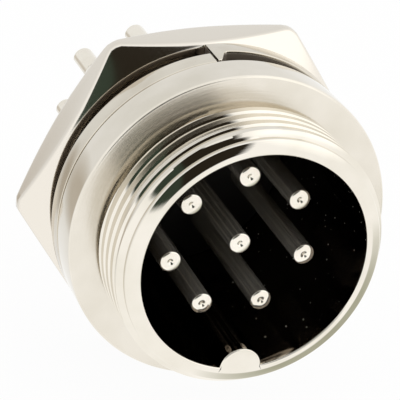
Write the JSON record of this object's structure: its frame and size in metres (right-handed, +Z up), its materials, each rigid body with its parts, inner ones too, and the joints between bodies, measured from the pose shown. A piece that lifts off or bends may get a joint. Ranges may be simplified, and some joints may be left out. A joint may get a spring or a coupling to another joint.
{
  "type": "circular connector panel socket",
  "caption": "Nickel-plated round panel socket with pin contacts in a keyed bore, a threaded front sleeve for a screw coupling, and a lock washer and hex nut behind its flange.",
  "frame": {"origin": "centre of the flange's rear face, which seats on the panel, on the mating axis", "axes": "-Y along the mating axis, out of the socket's mouth; +Y towards the solder cups; +Z up, away from the key ridge"},
  "size_m": [0.0262, 0.028, 0.024],
  "materials": {
    "nickel_shell": "bright nickel plate with faint turning marks",
    "nickel_nut": "bright nickel plate",
    "washer_steel": "nickel-plated spring steel",
    "insulator_black": "black moulded thermoset, smooth",
    "contact_metal": "smooth plated contact metal"
  },
  "bodies": {
    "socket": {"shell": "nickel_shell", "insulator": "insulator_black", "contact_pin_1": "contact_metal", "contact_pin_2": "contact_metal", "contact_pin_3": "contact_metal", "contact_pin_4": "contact_metal", "contact_pin_5": "contact_metal", "contact_pin_6": "contact_metal", "contact_pin_7": "contact_metal", "contact_pin_8": "contact_metal"},
    "washer": {"lock_washer": "washer_steel"},
    "nut": {"hex_nut": "nickel_nut"}
  },
  "joints": [
    {"name": "washer_slide", "type": "slide", "parent": "socket", "child": "washer", "axis": [0, 1, 0], "range_m": [0, 0.0056]},
    {"name": "nut_turn", "type": "hinge", "parent": "washer", "child": "nut", "pos_m": [0, 0, 0], "axis": [0, 1, 0], "range_deg": [0, 2016]}
  ],
  "couplings": [
    {"joint": "washer_slide", "follows": "nut_turn", "m_per_rad": 0.00015915}
  ]
}
